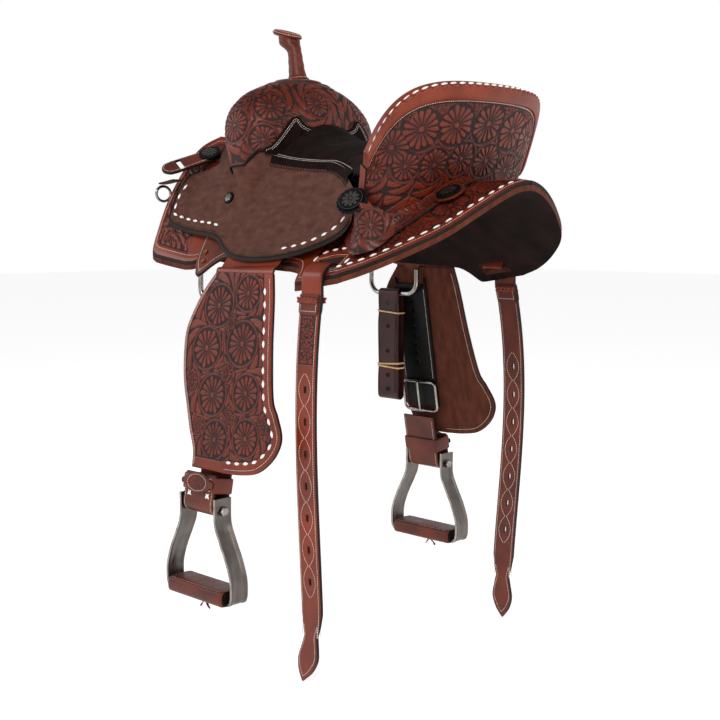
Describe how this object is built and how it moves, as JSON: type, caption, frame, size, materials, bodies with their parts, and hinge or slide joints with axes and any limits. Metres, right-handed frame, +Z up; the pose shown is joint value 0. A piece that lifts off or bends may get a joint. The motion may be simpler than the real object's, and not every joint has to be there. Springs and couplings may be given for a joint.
{
  "type": "western saddle",
  "caption": "Western barrel saddle with tooled skirts and fenders, high cantle, thin horn, suede seat, rear billets and metal stirrups.",
  "frame": {"origin": "where the saddle bears on the horse or stand: on the centre plane, at the middle of the bars", "axes": "+X towards the horse's head, +Y to the near (left) side, +Z up"},
  "size_m": [0.7126, 0.5814, 1.0155],
  "materials": {
    "tooled_leather": "tooled and oiled chestnut leather",
    "smooth_leather": "smooth oiled chestnut leather",
    "roughout_leather": "matte brown roughout",
    "black_suede": "near-black suede",
    "black_leather": "black harness leather",
    "wood": "rawhide-covered wood",
    "foam": "closed foam",
    "ground_leather": "skived sole leather",
    "steel": "satin steel",
    "stirrup_aluminium": "brushed grey metal",
    "antique_concho": "antiqued cast flower, dark with worn highlights",
    "copper": "copper",
    "burgundy_leather": "oiled latigo leather",
    "tan_rubber": "natural rubber"
  },
  "bodies": {
    "saddle": {"billet_straps": "smooth_leather", "cantle_back": "tooled_leather", "cantle_board": "wood", "cantle_roll": "smooth_leather", "concho_rosettes": "smooth_leather", "conchos": "antique_concho", "dee_clips": "smooth_leather", "fork": "wood", "ground_seat": "ground_leather", "horn_cap": "smooth_leather", "horn_post": "steel", "horn_wrap": "smooth_leather", "keeper_concho": "antique_concho", "latigo_keeper": "tooled_leather", "rigging_bow_left": "steel", "rigging_bow_right": "steel", "rigging_plate_left": "smooth_leather", "rigging_plate_right": "smooth_leather", "rigging_rivets": "copper", "seat_cover": "black_suede", "seat_jockey_left": "roughout_leather", "seat_jockey_right": "roughout_leather", "seat_pad": "foam", "seat_screw_conchos": "antique_concho", "skirt_lacing": "smooth_leather", "skirt_left": "tooled_leather", "skirt_lining_left": "black_suede", "skirt_lining_right": "black_suede", "skirt_right": "tooled_leather", "stirrup_leather_upper_left": "black_leather", "stirrup_leather_upper_right": "black_leather", "swell_cover": "tooled_leather", "tree_bar_left": "wood", "tree_bar_right": "wood"},
    "fender_neck_left": {"fender_neck_left": "tooled_leather"},
    "fender_left": {"fender_left": "tooled_leather", "stirrup_strap_left": "black_leather", "roller_buckle_left": "steel", "stirrup_fold_left": "smooth_leather", "hobble_strap_left": "smooth_leather"},
    "buckle_tongue_left": {"buckle_tongue_left": "steel"},
    "stirrup_left": {"stirrup_frame_left": "stirrup_aluminium", "stirrup_bolt_left": "steel", "stirrup_tread_left": "smooth_leather"},
    "billet_left": {"billet_left": "smooth_leather"},
    "breast_dee_left": {"breast_dee_left": "steel"},
    "fender_neck_right": {"fender_neck_right": "tooled_leather"},
    "fender_right": {"fender_right": "tooled_leather", "stirrup_strap_right": "black_leather", "roller_buckle_right": "steel", "stirrup_fold_right": "smooth_leather", "hobble_strap_right": "smooth_leather"},
    "buckle_tongue_right": {"buckle_tongue_right": "steel"},
    "stirrup_right": {"stirrup_frame_right": "stirrup_aluminium", "stirrup_bolt_right": "steel", "stirrup_tread_right": "smooth_leather"},
    "billet_right": {"billet_right": "smooth_leather"},
    "breast_dee_right": {"breast_dee_right": "steel"},
    "off_billet": {"off_billet": "burgundy_leather", "rubber_bands": "tan_rubber"}
  },
  "joints": [
    {"name": "left_fender_flare", "type": "hinge", "parent": "saddle", "child": "fender_neck_left", "pos_m": [0.052, 0.209, -0.066], "axis": [1, 0, 0], "range_deg": [0, 70]},
    {"name": "left_fender_swing", "type": "hinge", "parent": "fender_neck_left", "child": "fender_left", "pos_m": [0.052, 0.20952, -0.06895], "axis": [0, 0.9848, 0.1736], "range_deg": [-20, 9]},
    {"name": "left_stirrup_swing", "type": "hinge", "parent": "fender_left", "child": "stirrup_left", "pos_m": [0.062, 0.26466, -0.43237], "axis": [1, 0, 0], "range_deg": [-35, 35]},
    {"name": "left_buckle_tongue", "type": "hinge", "parent": "fender_left", "child": "buckle_tongue_left", "pos_m": [0.062, 0.23874, -0.33543], "axis": [1, 0, 0], "range_deg": [0, 100]},
    {"name": "left_billet_swing", "type": "hinge", "parent": "saddle", "child": "billet_left", "pos_m": [-0.142, 0.225, -0.092], "axis": [1, 0, 0], "range_deg": [-12, 75]},
    {"name": "left_breast_dee_swing", "type": "hinge", "parent": "saddle", "child": "breast_dee_left", "pos_m": [0.312, 0.15, 0.072], "axis": [0, -1, 0], "range_deg": [0, 80]},
    {"name": "right_fender_flare", "type": "hinge", "parent": "saddle", "child": "fender_neck_right", "pos_m": [0.052, -0.209, -0.066], "axis": [-1, 0, 0], "range_deg": [0, 70]},
    {"name": "right_fender_swing", "type": "hinge", "parent": "fender_neck_right", "child": "fender_right", "pos_m": [0.052, -0.20952, -0.06895], "axis": [0, -0.9848, 0.1736], "range_deg": [-20, 20]},
    {"name": "right_stirrup_swing", "type": "hinge", "parent": "fender_right", "child": "stirrup_right", "pos_m": [0.062, -0.26466, -0.43237], "axis": [-1, 0, 0], "range_deg": [-35, 35]},
    {"name": "right_buckle_tongue", "type": "hinge", "parent": "fender_right", "child": "buckle_tongue_right", "pos_m": [0.062, -0.23874, -0.33543], "axis": [-1, 0, 0], "range_deg": [0, 100]},
    {"name": "right_billet_swing", "type": "hinge", "parent": "saddle", "child": "billet_right", "pos_m": [-0.142, -0.225, -0.092], "axis": [-1, 0, 0], "range_deg": [-12, 75]},
    {"name": "right_breast_dee_swing", "type": "hinge", "parent": "saddle", "child": "breast_dee_right", "pos_m": [0.312, -0.15, 0.072], "axis": [0, -1, 0], "range_deg": [0, 80]},
    {"name": "off_billet_swing", "type": "hinge", "parent": "saddle", "child": "off_billet", "pos_m": [0.099, -0.199, -0.1178], "axis": [1, 0, 0], "range_deg": [0, 60]}
  ]
}
